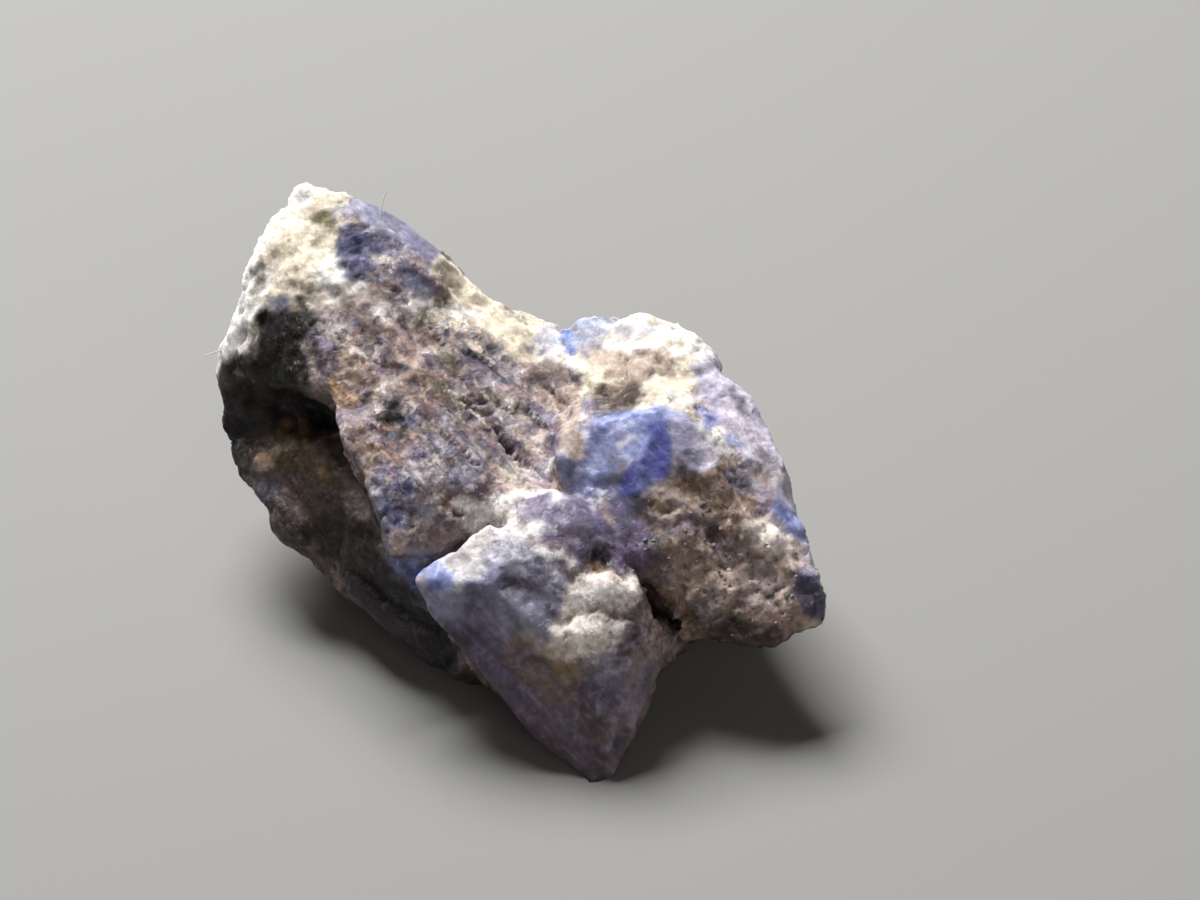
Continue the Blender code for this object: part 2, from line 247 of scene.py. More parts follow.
# where granular crust lies, where the crystal is sound and smooth, where it is layered, and
# where it is dark under the rim: dark dirt with painted shade over it
crust = region(
    ([(298, 195), (300, 255), (250, 300), (228, 350)], 52, 1.0),
    ([(325, 270), (345, 285)], 34, 0.8),
    ([(620, 345), (655, 370), (690, 350), (720, 375)], 46, 1.0),
    ([(690, 530), (740, 580), (780, 590)], 62, 1.0),
    ([(455, 275), (520, 310), (545, 345)], 20, 1.0),
    ([(-6.0, 8.5, 8.5), (-7.5, 7.0, 6.0)], 80, 1.0),
    ([(6.5, 5.5, 5.0), (5.0, 6.5, 3.0)], 90, 0.9),
)
sound = region(
    ([(440, 580), (480, 620), (540, 700), (585, 760)], 56, 1.0),
    ([(620, 730), (640, 690)], 34, 0.9),
    ([(595, 455), (655, 440), (640, 480)], 42, 1.0),
    ([(560, 515), (600, 530), (625, 515)], 34, 0.8),
    ([(688, 435), (692, 458)], 20, 0.8),
    ([(368, 210), (400, 225), (432, 248)], 24, 1.0),
    ([(410, 280), (425, 292)], 16, 0.9),
    ([(740, 400), (775, 480), (795, 520)], 26, 0.6),
    ([(0.0, 6.0, 5.0), (2.0, 6.0, 3.0)], 90, 0.8),
)
layered = region(
    ([(470, 360), (540, 420), (500, 470), (440, 440)], 52, 1.0),
    ([(245, 265), (232, 320), (222, 370)], 24, 1.0),
    ([(300, 520), (380, 600), (450, 680)], 70, 1.0),
    ([(520, 520), (580, 560)], 50, 0.8),
    ([(580, 600), (620, 660), (560, 690)], 40, 0.7),
)
shaded_side = region(
    ([(278, 330), (285, 385), (300, 432)], 44, 1.0),
    ([(330, 500), (350, 545), (420, 630), (460, 690)], 46, 0.75),
    ([(240, 400), (245, 450)], 26, 0.8),
    ([(655, 600), (680, 625), (730, 640), (780, 640)], 30, 0.9),
)

# the faces that stand out as one plane each, as routes and reaches
FACES = [
    ([(600, 462), (620, 440), (650, 428)], 24),
    ([(655, 450), (650, 475)], 17),
    ([(688, 435), (692, 460)], 15),
    ([(470, 610), (520, 640), (560, 700), (585, 750)], 46),
    ([(650, 660), (630, 710), (610, 750)], 16),
    ([(480, 545), (530, 545)], 20),
    ([(428, 572)], 18),
    ([(375, 215), (400, 228), (428, 248)], 20),
    ([(418, 287)], 14),
    ([(740, 400), (760, 450)], 22),
    ([(785, 515)], 18),
    ([(440, 485), (460, 478)], 12),
    ([(400, 490)], 12),
    ([(390, 512)], 10),
    ([(435, 448)], 12),
    ([(572, 425)], 11),
    ([(608, 680)], 18),
]
# the piece that each point is part of: a plate where the crystal is layered, else a block,
# whose numbers are kept apart from the plates' own
pieces = np.where(layered > 0.5, coarse_plate_tone, block_tone + 5.0)
flatness = 0.25 * (1.0 - 0.7 * crust)

# the stone's colours, as they look in plain light
lavender = (0.17, 0.16, 0.25)
pale_lavender = (0.33, 0.33, 0.43)
lilac = (0.47, 0.44, 0.58)
pale_lilac = (0.72, 0.67, 0.76)
lilac_grey = (0.23, 0.23, 0.32)
violet_grey = (0.050, 0.037, 0.060)
smoky_lilac = (0.28, 0.27, 0.38)
violet = (0.13, 0.105, 0.185)
sand = (0.28, 0.205, 0.19)
beige = (0.45, 0.36, 0.30)
cream = (0.74, 0.67, 0.54)
rosy_cream = (0.92, 0.83, 0.76)
white = (0.84, 0.82, 0.80)
rose_brown = (0.13, 0.08, 0.072)
rose = (0.50, 0.35, 0.31)
mauve = (0.17, 0.11, 0.12)
brown = (0.06, 0.04, 0.028)
dark = (0.006, 0.005, 0.004)
umber = (0.24, 0.160, 0.115)
ochre = (0.34, 0.21, 0.085)
olive = (0.10, 0.095, 0.04)
slate = (0.085, 0.09, 0.15)
navy = (0.035, 0.042, 0.12)
blue = (0.085, 0.095, 0.32)
sky = (0.24, 0.29, 0.56)
pale_blue = (0.55, 0.64, 0.82)
saddle_blue = (0.14, 0.22, 0.55)
tint = np.tile(np.array(sand), (count, 1))


def lay_on(colour, share):
    """Lays a colour over the stone, more where share is higher."""
    global tint
    tint = tint + share[:, None] * (np.array(colour) - tint)


warm = cloud(2.6, 4, 5)
cool = cloud(2.2, 4, 6)
lay_on(lavender, 0.85 * eased(-warm, -0.15, 0.35))
lay_on(beige, 0.6 * eased(warm, 0.1, 0.6))
lay_on(violet_grey, 0.6 * eased(cool, 0.1, 0.6))
lay_on(beige, 0.6 * eased(-cool, 0.2, 0.6))
lay_on(cream, 0.8 * crust)
lay_on(lilac_grey, 0.5 * sound)
# painted shade, with some brown dirt: faces that turn downwards are darker brown
lay_on(brown, 0.8 * eased(-broad_normals[:, 2], -0.1, 0.4))
# painted shade over dark dirt on the shaded side under the rim
lay_on(dark, 0.8 * shaded_side)

MARKS = [
    # colour, route in pixels, reach, strength
    # the broad top, in patches as they lie
    (sand, [(330, 330), (400, 370), (470, 440)], 80, 0.75),
    (beige, [(400, 318), (470, 322), (520, 330)], 26, 0.6),
    (cream, [(425, 308), (455, 322), (485, 332)], 24, 0.7),
    (rosy_cream, [(490, 395), (515, 415), (530, 440)], 12, 0.45),
    (rose_brown, [(385, 350), (412, 388)], 15, 0.25),
    (rose, [(372, 352), (402, 372), (425, 360)], 26, 0.40),
    (beige, [(392, 356), (415, 380)], 10, 0.45),
    (violet_grey, [(432, 452), (472, 470)], 24, 0.85),
    (rose_brown, [(335, 300), (330, 350), (345, 400)], 20, 0.45),
    (rose_brown, [(395, 405), (380, 435)], 18, 0.6),
    (brown, [(385, 362), (375, 385)], 12, 0.35),
    (brown, [(388, 414), (402, 420)], 12, 0.4),
    (rose_brown, [(440, 455), (465, 470)], 20, 0.6),
    (olive, [(440, 350), (450, 362)], 12, 0.6),
    (olive, [(430, 385), (452, 400), (455, 420)], 14, 0.6),
    (olive, [(390, 416)], 14, 0.85),
    (dark, [(386, 415), (398, 421)], 14, 0.9),
    (ochre, [(345, 368), (345, 395)], 14, 0.8),
    (ochre, [(360, 438), (372, 450)], 12, 0.6),
    (ochre, [(405, 395), (412, 400)], 7, 0.5),
    (beige, [(365, 340), (385, 330)], 12, 0.6),
    (beige, [(375, 405), (395, 385), (398, 360)], 9, 0.6),
    (white, [(400, 308), (430, 305), (480, 315), (520, 330)], 9, 0.6),
    (white, [(380, 305), (395, 312)], 9, 0.6),
    (slate, [(402, 318)], 9, 0.6),
    (slate, [(356, 322), (360, 332)], 8, 0.7),
    (slate, [(405, 372)], 8, 0.5),
    (slate, [(488, 345), (496, 355)], 9, 0.8),
    (slate, [(470, 372), (478, 385)], 8, 0.75),
    (slate, [(478, 400), (488, 412)], 8, 0.8),
    (navy, [(481, 406)], 4, 0.8),
    (slate, [(503, 380), (512, 388)], 6, 0.7),
    (slate, [(475, 438), (484, 446)], 7, 0.7),
    (lavender, [(430, 460), (470, 470)], 24, 0.6),
    (slate, [(432, 440), (440, 452)], 10, 0.75),
    (beige, [(440, 430), (462, 445)], 8, 0.7),
    (beige, [(500, 400), (520, 430)], 5, 0.7),
    (beige, [(508, 362), (530, 375)], 7, 0.6),
    (rose_brown, [(500, 445), (530, 455)], 13, 0.6),
    (rose_brown, [(440, 460), (475, 480), (490, 498)], 7, 0.6),
    (lavender, [(535, 410), (545, 418)], 11, 0.7),
    (slate, [(525, 424), (532, 428)], 5, 0.8),
    (dark, [(508, 445)], 5, 0.6),
    # the pale crest of the high left end
    (white, [(298, 190), (278, 220), (258, 255), (250, 280)], 22, 0.85),
    (cream, [(300, 235), (305, 265), (318, 280)], 34, 0.7),
    (white, [(335, 268), (345, 285)], 18, 0.8),
    (white, [(244, 285), (232, 330), (222, 358)], 26, 1.0),
    (cream, [(330, 195), (350, 205)], 12, 0.6),
    (olive, [(322, 213), (333, 221)], 8, 0.95),
    (ochre, [(334, 216)], 5, 0.6),
    (olive, [(322, 235)], 6, 0.6),
    (ochre, [(262, 262), (285, 245), (310, 232)], 3, 0.5),
    (ochre, [(300, 212), (318, 203)], 3, 0.4),
    (olive, [(250, 272), (262, 262)], 3, 0.7),
    (olive, [(258, 268), (256, 300)], 4, 0.6),
    (brown, [(242, 296), (240, 312)], 3, 0.6),
    (olive, [(226, 362), (230, 378)], 5, 0.8),
    (olive, [(252, 355), (245, 378), (218, 385)], 8, 0.7),
    (rose_brown, [(230, 372)], 4, 0.8),
    (slate, [(272, 298), (285, 305), (278, 318)], 11, 0.8),
    (ochre, [(298, 308)], 6, 0.5),
    # lavender facet along the upper edge, and the navy lumps under it
    (lilac_grey, [(360, 207), (390, 218), (412, 232), (440, 254)], 21, 0.9),
    (pale_lavender, [(372, 214), (400, 226)], 7, 0.5),
    # painted glints on the lavender facet
    (white, [(376, 230), (398, 236)], 3, 0.4),
    (blue, [(363, 215)], 5, 0.7),
    (lavender, [(415, 235), (422, 255)], 10, 0.7),
    (navy, [(345, 245), (352, 237)], 14, 0.95),
    (navy, [(355, 264), (363, 255)], 14, 0.95),
    (slate, [(350, 229), (365, 231)], 5, 0.9),
    (slate, [(372, 240), (395, 248)], 8, 0.9),
    (navy, [(393, 247)], 4, 0.7),
    (cream, [(368, 256), (388, 262)], 4, 0.6),
    (slate, [(406, 278), (418, 284), (428, 292)], 14, 0.8),
    (lilac_grey, [(408, 278), (428, 292)], 11, 0.45),
    (white, [(403, 299), (420, 303), (434, 305)], 4, 0.85),
    (ochre, [(396, 297)], 3, 0.7),
    (cream, [(446, 266), (465, 288), (490, 300)], 16, 0.85),
    (ochre, [(440, 272), (452, 298)], 3, 0.45),
    (dark, [(396, 290)], 3, 0.7),
    # the saddle
    (cream, [(512, 298), (530, 322), (540, 338)], 14, 0.85),
    (white, [(548, 342), (556, 350)], 15, 0.85),
    (slate, [(530, 345)], 6, 0.7),
    (cream, [(505, 298), (520, 308), (535, 320), (548, 328)], 22, 0.95),
    (pale_lavender, [(556, 322), (580, 318), (610, 318)], 16, 0.9),
    (cream, [(622, 316), (655, 318), (690, 334)], 16, 0.9),
    (rose_brown, [(505, 355), (520, 372), (545, 370)], 12, 0.6),
    (navy, [(567, 331), (570, 352)], 7, 0.6),
    (sky, [(567, 331), (570, 352)], 7, 0.75),
    (blue, [(566, 332)], 6, 0.7),
    (pale_lavender, [(560, 320), (600, 332)], 8, 0.8),
    (white, [(572, 366)], 9, 0.85),
    (violet_grey, [(550, 378), (580, 385)], 10, 0.75),
    (brown, [(580, 378), (582, 392)], 6, 0.7),
    (lavender, [(592, 350), (596, 358)], 12, 0.7),
    # the narrow upright crystal
    (beige, [(566, 398), (570, 425), (574, 448)], 12, 0.9),
    (cream, [(567, 400), (571, 430)], 5, 0.5),
    (white, [(582, 415), (584, 432)], 4, 0.5),
    (ochre, [(556, 396), (557, 420)], 3, 0.95),
    (cream, [(506, 462), (516, 484)], 9, 0.75),
    (beige, [(545, 462), (562, 452)], 6, 0.8),
    (white, [(550, 466), (568, 470), (566, 480)], 9, 0.85),
    (lavender, [(530, 475), (540, 480)], 8, 0.6),
    # pale crust of the right end
    (cream, [(605, 375), (625, 350), (665, 375), (690, 350)], 30, 0.85),
    (white, [(620, 318), (650, 325), (690, 338)], 10, 0.7),
    (pale_lavender, [(620, 330), (645, 335), (655, 326)], 8, 0.7),
    (white, [(610, 345), (640, 355), (680, 352)], 10, 0.7),
    (beige, [(605, 360), (640, 372), (660, 368)], 17, 0.9),
    (sand, [(640, 380), (668, 376)], 6, 0.4),
    (cream, [(640, 402), (680, 408)], 13, 0.9),
    (white, [(668, 398), (690, 400)], 6, 0.7),
    (brown, [(604, 402), (628, 396)], 15, 0.95),
    (umber, [(612, 402), (622, 396)], 7, 0.5),
    (slate, [(598, 412), (622, 412)], 6, 0.7),
    (dark, [(653, 373)], 3, 0.9),
    (white, [(700, 350), (718, 380), (720, 395)], 14, 0.8),
    (rose_brown, [(688, 350), (695, 375)], 4, 0.4),
    # the deep blue crystal
    (sky, [(585, 470), (600, 440), (635, 428), (660, 425)], 26, 0.85),
    (lavender, [(580, 478), (600, 488), (620, 490)], 13, 0.7),
    (blue, [(655, 438), (648, 462), (642, 480)], 17, 0.6),
    (blue, [(618, 485), (640, 490)], 7, 0.7),
    (navy, [(648, 455)], 7, 0.5),
    (white, [(628, 448), (645, 436)], 3, 0.5),
    (white, [(612, 428), (630, 422)], 5, 0.5),
    (slate, [(590, 425), (597, 435)], 6, 0.7),
    (sky, [(575, 450), (582, 446)], 5, 0.8),
    (navy, [(574, 452)], 3, 0.8),
    (white, [(555, 482), (575, 478), (590, 470)], 5, 0.5),
    (sky, [(530, 490), (560, 492), (590, 490)], 5, 0.5),
    # the grey lavender facet beside it
    (lilac_grey, [(686, 430), (692, 455)], 17, 0.8),
    (pale_lilac, [(706, 448), (716, 462)], 10, 0.7),
    (blue, [(677, 430), (682, 440)], 6, 0.6),
    (violet_grey, [(685, 468), (700, 475)], 11, 0.8),
    (dark, [(686, 452)], 3, 0.8),
    # the right slope
    (lilac, [(725, 380), (750, 430), (775, 490), (800, 560)], 34, 0.9),
    (pale_lilac, [(735, 400), (755, 440), (768, 475)], 16, 0.7),
    (white, [(705, 430), (725, 440), (720, 455)], 13, 0.8),
    (sky, [(700, 408), (712, 418), (705, 425)], 8, 0.85),
    (blue, [(702, 420), (714, 414)], 3, 0.8),
    (slate, [(732, 390), (742, 412)], 7, 0.6),
    (slate, [(750, 434), (755, 436)], 4, 0.7),
    (sky, [(728, 440), (742, 446)], 5, 0.8),
    (blue, [(730, 441), (746, 452)], 3, 0.7),
    (beige, [(725, 470), (740, 458)], 8, 0.8),
    (violet_grey, [(765, 455), (775, 470)], 9, 0.5),
    (white, [(775, 475), (790, 492)], 6, 0.7),
    (sky, [(775, 508), (788, 518), (795, 530)], 13, 0.85),
    (blue, [(782, 510), (788, 520)], 6, 0.5),
    # the stained block at the lower right
    (umber, [(690, 500), (735, 510), (720, 560), (770, 600), (690, 600), (660, 560)], 40, 0.85),
    (rose, [(680, 560), (740, 570), (775, 600)], 40, 0.55),
    (rose, [(700, 560), (735, 575)], 14, 0.5),
    (rose, [(715, 580), (765, 592)], 24, 0.7),
    (sand, [(696, 520), (722, 545)], 18, 0.6),
    (umber, [(775, 575), (790, 600)], 14, 0.5),
    (rose, [(765, 565), (785, 580)], 12, 0.5),
    (ochre, [(668, 548), (690, 570)], 8, 0.45),
    (ochre, [(735, 520), (748, 500)], 7, 0.5),
    (brown, [(716, 575), (722, 560)], 6, 0.5),
    (brown, [(745, 560), (758, 575)], 6, 0.45),
    (mauve, [(640, 520), (635, 560), (650, 590)], 26, 0.8),
    (violet_grey, [(650, 545), (662, 560)], 13, 0.6),
    (ochre, [(665, 508), (680, 506), (672, 516)], 8, 0.7),
    (ochre, [(690, 545), (698, 552)], 6, 0.6),
    (slate, [(735, 480), (745, 488)], 10, 0.75),
    (beige, [(710, 478), (715, 490)], 7, 0.6),
    (dark, [(708, 534), (716, 528), (722, 520)], 6, 0.6),
    (dark, [(673, 530)], 5, 0.8),
    (dark, [(715, 548), (750, 540)], 7, 0.35),
    (beige, [(740, 510), (752, 515)], 10, 0.8),
    (rosy_cream, [(758, 528), (775, 540), (790, 548)], 15, 0.9),
    (beige, [(790, 560), (806, 566)], 10, 0.7),
    (beige, [(700, 575), (735, 590), (780, 585)], 26, 0.8),
    (rose_brown, [(740, 600), (770, 595)], 12, 0.6),
    (beige, [(693, 572), (685, 590)], 5, 0.8),
    (beige, [(746, 594), (768, 600)], 4, 0.8),
    (olive, [(700, 600), (690, 585)], 8, 0.5),
    (navy, [(808, 585), (814, 605), (803, 635)], 14, 0.85),
    (slate, [(812, 598)], 8, 0.5),
    # painted shade along the lower edge of the stained block, where it overhangs
    (dark, [(730, 625), (770, 640), (700, 618)], 14, 0.8),
    # the neck
    (violet, [(540, 512), (580, 535), (600, 515), (625, 540)], 32, 0.95),
    (violet_grey, [(570, 540), (600, 548)], 16, 0.7),
    (slate, [(560, 515), (600, 528)], 12, 0.35),
    (slate, [(600, 500), (625, 508)], 12, 0.6),
    (slate, [(612, 500), (640, 500)], 9, 0.6),
    (violet, [(618, 510), (622, 530)], 10, 0.6),
    (beige, [(605, 505), (606, 520)], 4, 0.7),
    (white, [(500, 498), (525, 492), (555, 494)], 7, 0.85),
    (dark, [(596, 556), (606, 562)], 8, 0.7),
    (ochre, [(592, 566), (622, 582)], 4, 0.8),
    # ledges between the top and the wedge
    (pale_lavender, [(420, 478), (450, 472), (472, 476)], 8, 0.75),
    (lavender, [(385, 470), (375, 480)], 12, 0.7),
    (pale_lavender, [(392, 465), (378, 482)], 6, 0.7),
    (navy, [(400, 475), (412, 492)], 11, 0.75),
    (navy, [(390, 500), (398, 518)], 11, 0.9),
    (slate, [(375, 505), (385, 530)], 9, 0.8),
    (violet_grey, [(425, 505), (445, 520)], 14, 0.7),
    (beige, [(440, 495), (452, 508)], 7, 0.8),
    (white, [(462, 505), (478, 512), (495, 505)], 9, 0.6),
    (brown, [(458, 514), (466, 522)], 4, 0.9),
    (brown, [(476, 503)], 3, 0.8),
    (rose_brown, [(430, 535), (440, 545)], 9, 0.7),
    (lavender, [(385, 545), (395, 562)], 10, 0.6),
    (dark, [(412, 560), (430, 590), (450, 625)], 5, 0.7),
    # the front wedge
    (violet_grey, [(470, 640), (540, 720), (590, 775)], 60, 0.8),
    (lilac_grey, [(440, 600), (470, 600), (500, 610), (545, 620)], 26, 0.8),
    (smoky_lilac, [(450, 592), (492, 606)], 16, 0.7),
    (slate, [(462, 590), (474, 596)], 6, 0.5),
    (slate, [(500, 612), (512, 624)], 8, 0.5),
    (pale_lavender, [(458, 584), (475, 572)], 8, 0.5),
    (pale_lavender, [(505, 590), (522, 600)], 9, 0.5),
    (violet, [(475, 620), (500, 650), (520, 690)], 20, 0.6),
    (mauve, [(540, 700), (575, 760), (600, 740)], 30, 0.25),
    (violet, [(575, 690), (610, 700)], 18, 0.6),
    (white, [(452, 562), (480, 545), (495, 525), (515, 540)], 26, 0.6),
    (pale_lavender, [(500, 560), (530, 555), (555, 575)], 18, 0.75),
    (sky, [(410, 568), (430, 566), (440, 578)], 13, 0.8),
    (lilac_grey, [(414, 572), (432, 572)], 8, 0.35),
    (blue, [(438, 586), (446, 580)], 5, 0.5),
    (white, [(412, 565), (440, 552)], 4, 0.5),
    (sky, [(414, 576), (444, 580)], 12, 0.6),
    (blue, [(470, 580), (495, 578)], 8, 0.3),
    (slate, [(525, 555), (545, 570)], 9, 0.6),
    (pale_lavender, [(525, 610), (545, 640)], 10, 0.5),
    (white, [(535, 545), (560, 555), (575, 565)], 4, 0.8),
    (white, [(548, 560), (556, 575)], 3, 0.7),
    (rosy_cream, [(595, 580), (610, 590), (625, 588)], 18, 0.95),
    (rosy_cream, [(578, 600), (584, 612)], 15, 0.95),
    (rosy_cream, [(572, 642), (590, 634), (606, 632)], 22, 0.95),
    (rosy_cream, [(560, 622), (575, 625), (580, 650)], 13, 0.8),
    (rosy_cream, [(540, 645), (556, 655)], 7, 0.5),
    (white, [(582, 600), (605, 588)], 8, 0.8),
    (white, [(588, 630), (608, 630)], 12, 0.9),
    (beige, [(560, 650), (572, 668), (590, 660)], 8, 0.5),
    (rose, [(588, 612), (606, 612)], 5, 0.4),
    (rosy_cream, [(590, 640), (612, 640)], 14, 0.8),
    (beige, [(590, 612), (612, 612)], 9, 0.4),
    (beige, [(528, 632), (548, 650)], 10, 0.5),
    (umber, [(520, 655), (560, 690)], 18, 0.5),
    (olive, [(514, 628), (518, 638)], 6, 0.7),
    (ochre, [(560, 668), (575, 672)], 9, 0.5),
    (cream, [(562, 682), (566, 690)], 4, 0.5),
    (lavender, [(600, 662), (612, 670), (608, 690)], 15, 0.6),
    (violet_grey, [(630, 625), (636, 638)], 8, 0.8),
    (violet_grey, [(620, 642), (628, 654)], 6, 0.8),
    (pale_lavender, [(628, 612), (645, 632)], 3, 0.8),
    (pale_lavender, [(612, 636), (622, 656), (632, 664)], 3, 0.8),
    (sand, [(650, 640), (630, 680), (610, 730), (590, 745)], 7, 0.5),
    (navy, [(645, 675), (652, 668)], 8, 0.5),
    (sand, [(665, 650), (640, 720), (610, 770)], 9, 0.4),
    (navy, [(610, 745), (616, 752)], 8, 0.45),
    (rose_brown, [(585, 700), (590, 735)], 12, 0.45),
    # the shaded side under the rim: dark brown dirt with painted shade over it, and spots of the
    # stone's own colours
    (dark, [(285, 345), (272, 382), (300, 412)], 46, 1.0),
    (dark, [(235, 390), (250, 440)], 30, 0.9),
    (brown, [(252, 350), (262, 400), (258, 440)], 9, 0.4),
    (dark, [(335, 470), (345, 480)], 14, 0.7),
    (brown, [(270, 470), (300, 520), (350, 560)], 46, 0.7),
    (dark, [(330, 525), (355, 560), (380, 595), (440, 650)], 36, 0.85),
    (dark, [(240, 450), (260, 495), (300, 540)], 18, 0.7),
    (ochre, [(288, 446), (322, 462)], 18, 0.25),
    (brown, [(300, 440), (325, 470), (310, 490)], 26, 0.7),
    (ochre, [(318, 466), (322, 476)], 7, 0.45),
    (ochre, [(285, 428), (305, 432)], 10, 0.25),
    (ochre, [(258, 458), (268, 452), (266, 464)], 5, 0.45),
    (slate, [(258, 482), (270, 490)], 9, 0.5),
    (rose_brown, [(290, 500), (300, 515)], 10, 0.5),
    (violet_grey, [(360, 590), (420, 640)], 14, 0.6),
]
for colour, route, reach, strength in MARKS:
    lay_on(colour, strength * mark(route, reach))

CRISP_MARKS = [
    # the same, for the sound faces and cracks, which have straight and sharp edges
    # the deep blue face with its upright right edge, and the frosted one to its left
    (sky, [(592, 468), (606, 446), (632, 432)], 22, 0.45),
    (lilac_grey, [(598, 458), (622, 440)], 13, 0.5),
    (slate, [(594, 440), (584, 458)], 7, 0.6),
    (white, [(618, 444), (634, 436)], 2.5, 0.6),
    (white, [(606, 460), (626, 456)], 2, 0.4),
    (blue, [(659, 434), (658, 466)], 14, 0.95),
    (blue, [(634, 480), (652, 462)], 16, 0.9),
    (navy, [(655, 446), (640, 478)], 7, 0.5),
    (slate, [(600, 440), (612, 466)], 4, 0.5),
    (pale_lavender, [(618, 474), (640, 450)], 3, 0.5),
    (navy, [(600, 476), (620, 482)], 5, 0.4),
    (sky, [(640, 488), (656, 480)], 3, 0.6),
    (sky, [(636, 446), (650, 434)], 4, 0.7),
    (smoky_lilac, [(682, 426), (688, 440), (696, 462)], 13, 0.9),
    (pale_lilac, [(700, 440), (708, 462)], 7, 0.5),
    (pale_lavender, [(673, 428), (674, 470)], 2.5, 0.8),
    (navy, [(686, 452)], 3, 0.8),
    # the narrow upright crystal, with its stained left edge
    (beige, [(566, 396), (570, 420), (575, 450)], 12, 0.9),
    (cream, [(562, 402), (567, 436)], 5, 0.5),
    (white, [(580, 412), (584, 436)], 3, 0.5),
    (sand, [(566, 398), (572, 446)], 11, 0.35),
    (rose_brown, [(558, 386), (556, 412)], 3, 0.5),
    (ochre, [(555, 392), (557, 425)], 2.5, 0.9),
    (brown, [(606, 396), (628, 391)], 14, 0.95),
    (umber, [(612, 390), (624, 386)], 6, 0.6),
    (slate, [(596, 414), (626, 410)], 5, 0.7),
    # the blue seam in the saddle, and the pale blue bloom on the crown beside it
    (white, [(552, 336), (560, 352)], 10, 0.7),
    (saddle_blue, [(566, 330), (570, 350)], 6, 0.9),
    (pale_blue, [(585, 322), (612, 324)], 9, 0.7),
    (pale_blue, [(556, 321), (575, 321)], 5, 0.7),
    # slate faces on the edge above the lower left side
    (navy, [(398, 474), (410, 492)], 9, 0.8),
    (navy, [(389, 500), (397, 520)], 9, 0.85),
    (slate, [(376, 508), (384, 530)], 7, 0.7),
    (pale_lavender, [(404, 470), (394, 492)], 2.5, 0.7),
    (pale_lavender, [(386, 494), (400, 498)], 2.5, 0.6),
    (pale_lavender, [(416, 484), (404, 520)], 2.5, 0.6),
    # cleavage lines on the front wedge
    (pale_lavender, [(604, 656), (640, 642)], 2.5, 0.8),
    (pale_lavender, [(598, 672), (634, 668)], 2.5, 0.75),
    (pale_lavender, [(590, 694), (628, 690)], 2.5, 0.7),
    (pale_lavender, [(612, 650), (604, 680), (600, 712)], 2.5, 0.75),
    (pale_lavender, [(560, 600), (545, 640), (520, 660)], 2.5, 0.6),
    (pale_lavender, [(500, 580), (530, 600), (560, 596)], 2.5, 0.7),
    (pale_lavender, [(470, 575), (500, 600), (505, 640)], 2.5, 0.5),
    (pale_lavender, [(596, 660), (622, 704)], 2.0, 0.6),
    (pale_lavender, [(648, 655), (628, 700), (600, 752)], 2.5, 0.6),
    (pale_lavender, [(520, 690), (556, 726), (582, 742)], 2.0, 0.4),
    (pale_lavender, [(540, 664), (560, 700), (572, 740)], 2.0, 0.35),
    # cracks in the neck, where the violet crystal is cleaved
    (pale_lavender, [(548, 502), (600, 540)], 2.5, 0.8),
    (pale_lavender, [(532, 508), (578, 548)], 2.0, 0.6),
    (pale_lavender, [(566, 496), (618, 532)], 2.5, 0.8),
    (pale_lavender, [(590, 494), (632, 520)], 2.5, 0.5),
    (pale_lavender, [(612, 490), (616, 545)], 2.5, 0.4),
    (ochre, [(590, 562), (626, 582)], 3.0, 0.8),
]
for colour, route, reach, strength in CRISP_MARKS:
    lay_on(colour, strength * mark(route, reach, ragged=0.16, edge=0.3, bends=0.4))

# the mosaic of little grains, each of its own colour, mostly on the broad top and on the
# stained block
broad_top = mark([(350, 320), (420, 340), (500, 400), (440, 460), (360, 400)], 60)
bare = (1.0 - 0.8 * crust) * (1.0 - 0.8 * sound)
mosaic = bare * (1.0 - shaded_side) * (0.22 + 0.78 * broad_top)
stained_block = mark([(690, 520), (720, 560), (760, 590), (690, 590)], 40)
mosaic = np.maximum(mosaic, 0.75 * stained_block * (1.0 - 0.5 * shaded_side))
for colour, tones, low, high, strength in [
    (white, chunk_tone, 0.70, 1.0, 0.30),
    (slate, chunk_tone, -1.0, -0.75, 0.35),
    (beige, chunk_tone, 0.40, 0.70, 0.25),
    (rose_brown, chunk_tone, -0.75, -0.55, 0.30),
    (lavender, coarse_plate_tone, -0.8, -0.4, 0.25),
]:
    lay_on(colour, strength * mosaic * ((tones > low) & (tones <= high)))
tint = smoothed(tint, 1)

# relief in mm: stacked plates where it is layered, angular chunks elsewhere, lumps on the
# crust, and then the knobs, grooves and pits that the photograph shows
plate_height, ledge_height, fine_plate_height = 0.11, 0.06, 0.04
chunk_height, chip_height = 0.085, 0.055
knob_height, pit_depth = 0.11, 0.15
stepped = 0.20 + 0.80 * layered
ledges = region(([(455, 365), (480, 380), (540, 420), (500, 470), (450, 450)], 40, 1.0))
step_height = plate_height + ledge_height * ledges
relief = bare * stepped * (step_height * coarse_plate + fine_plate_height * fine_plate)
relief += bare * (1.0 - 0.7 * layered) * (chunk_height * chunk + chip_height * chip)
relief += crust * (0.08 * lumps + 0.05 * chip)
relief += stained_block * (0.07 * chunk + 0.06 * chip)
relief += (0.012 + 0.03 * crust) * grit * (1.0 - 0.8 * sound)
relief += knob_height * region(
    ([(596, 588), (616, 592)], 22, 1.1),
    ([(576, 604)], 16, 0.7),
    ([(585, 638), (606, 634)], 24, 1.2),
    ([(346, 242)], 10, 0.8),
    ([(359, 262)], 10, 0.8),
    ([(775, 540)], 12, 1.0),
    ([(260, 457)], 8, 0.7),
)
